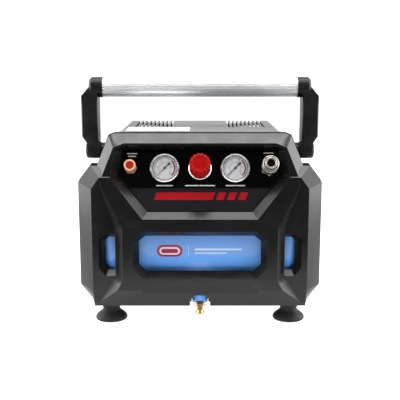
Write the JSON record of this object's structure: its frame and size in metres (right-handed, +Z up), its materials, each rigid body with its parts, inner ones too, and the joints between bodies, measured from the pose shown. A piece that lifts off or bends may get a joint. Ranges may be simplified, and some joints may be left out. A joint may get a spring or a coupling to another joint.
{
  "type": "air compressor",
  "caption": "Portable oil-free air compressor: moulded housing round a horizontal tank, with gauges, regulator and quick coupler on the front and a folding carrying handle.",
  "frame": {"origin": "on the floor, under the middle of the whole object's bounding box", "axes": "+Z up, -Y the control panel's side, +X to the right of someone facing the panel"},
  "size_m": [0.375, 0.3262, 0.3602],
  "materials": {
    "shell_black": "fine texture",
    "cover_grey": "fine texture",
    "seal_black": "matt",
    "panel_dark": "matt",
    "label_black": "gloss",
    "steel": "plain",
    "zinc_plate": "zinc grey",
    "handle_aluminium": "satin, fluted",
    "handle_black": "fine texture",
    "foot_rubber": "matt",
    "tank_blue": "satin",
    "brass": "bright",
    "cast_metal": "as cast",
    "copper": "drawn tube",
    "winding": "enamelled",
    "switch_black": "satin",
    "tube_black": "satin",
    "chrome": "bright",
    "dial_white": "printed",
    "needle_black": "matt",
    "lens_clear": "clear",
    "knob_red": "satin",
    "cap_red": "satin",
    "nickel": "nickel plated",
    "fan_plastic": "moulded"
  },
  "bodies": {
    "housing": {"base_plate": "zinc_plate", "cable_gland": "switch_black", "check_valve": "brass", "control_panel": "panel_dark", "coupler_body": "brass", "crankcase": "cast_metal", "cylinder": "cast_metal", "cylinder_head": "cast_metal", "discharge_tube": "copper", "drain_valve_body": "brass", "end_bracket": "cast_metal", "foot_screws": "steel", "front_left_foot": "foot_rubber", "front_right_foot": "foot_rubber", "front_shell": "shell_black", "housing_screws": "steel", "left_pivot_bolt": "steel", "left_pivot_boss": "shell_black", "motor_bearings": "steel", "motor_stator": "steel", "motor_windings": "winding", "outlet_gauge_case": "chrome", "outlet_gauge_dial": "dial_white", "outlet_gauge_lens": "lens_clear", "outlet_manifold": "cast_metal", "outlet_tube": "tube_black", "panel_label": "label_black", "parting_seal": "seal_black", "power_switch": "switch_black", "pressure_switch": "switch_black", "rear_left_foot": "foot_rubber", "rear_right_foot": "foot_rubber", "rear_shell": "shell_black", "regulator_body": "brass", "regulator_ring": "chrome", "right_pivot_bolt": "steel", "right_pivot_boss": "shell_black", "safety_valve_body": "brass", "tank": "tank_blue", "tank_gauge_case": "chrome", "tank_gauge_dial": "dial_white", "tank_gauge_lens": "lens_clear", "tank_saddles": "zinc_plate", "top_cover": "cover_grey"},
    "handle": {"handle_tube": "handle_aluminium", "left_handle_arm": "handle_black", "right_handle_arm": "handle_black", "left_arm_hub": "handle_black", "right_arm_hub": "handle_black"},
    "knob": {"regulator_knob": "knob_red"},
    "safety_cap": {"safety_valve_cap": "cap_red"},
    "sleeve": {"coupler_sleeve": "nickel"},
    "socket_valve": {"coupler_valve": "brass"},
    "tank_needle": {"tank_gauge_needle": "needle_black"},
    "outlet_needle": {"outlet_gauge_needle": "needle_black"},
    "drain_knob": {"drain_valve_knob": "brass"},
    "rotor": {"motor_rotor": "steel", "cooling_fan": "fan_plastic"},
    "rod": {"connecting_rod": "cast_metal"},
    "rocker": {"power_rocker": "knob_red"}
  },
  "joints": [
    {"name": "handle_fold", "type": "hinge", "parent": "housing", "child": "handle", "pos_m": [0, 0, 0.244], "axis": [-1, 0, 0], "range_deg": [0, 55]},
    {"name": "regulator_turn", "type": "hinge", "parent": "housing", "child": "knob", "pos_m": [0, -0.1264, 0.23211], "axis": [0, -0.9272, 0.3746], "range_deg": [-720, 720]},
    {"name": "safety_valve_pull", "type": "slide", "parent": "housing", "child": "safety_cap", "axis": [0, -0.9272, 0.3746], "range_m": [0, 0.003], "stiffness_N_per_m": 1500},
    {"name": "coupler_sleeve_slide", "type": "slide", "parent": "housing", "child": "sleeve", "axis": [0, 0.9272, -0.3746], "range_m": [0, 0.004], "stiffness_N_per_m": 1200},
    {"name": "coupler_valve_push", "type": "slide", "parent": "housing", "child": "socket_valve", "axis": [0, 0.9272, -0.3746], "range_m": [0, 0.0045], "stiffness_N_per_m": 900},
    {"name": "tank_needle_turn", "type": "hinge", "parent": "housing", "child": "tank_needle", "pos_m": [-0.0515, -0.1264, 0.23211], "axis": [0, 0.9272, -0.3746], "range_deg": [0, 270], "stiffness_Nm_per_rad": 0.002},
    {"name": "outlet_needle_turn", "type": "hinge", "parent": "housing", "child": "outlet_needle", "pos_m": [0.0515, -0.1264, 0.23211], "axis": [0, 0.9272, -0.3746], "range_deg": [0, 270], "stiffness_Nm_per_rad": 0.002},
    {"name": "drain_turn", "type": "hinge", "parent": "housing", "child": "drain_knob", "pos_m": [0, -0.12699, 0.02219], "axis": [0, -0.4664, -0.8846], "range_deg": [0, 720]},
    {"name": "motor_shaft", "type": "hinge", "parent": "housing", "child": "rotor", "pos_m": [0, 0.086, 0.118], "axis": [1, 0, 0], "continuous": true},
    {"name": "crank_pin", "type": "hinge", "parent": "rotor", "child": "rod", "pos_m": [-0.049, 0.086, 0.112], "axis": [1, 0, 0], "continuous": true},
    {"name": "power_rocker_tilt", "type": "hinge", "parent": "housing", "child": "rocker", "pos_m": [0.118, 0.1475, 0.15], "axis": [1, 0, 0], "range_deg": [0, 18]}
  ],
  "couplings": [
    {"joint": "crank_pin", "follows": "motor_shaft", "ratio": -1}
  ]
}
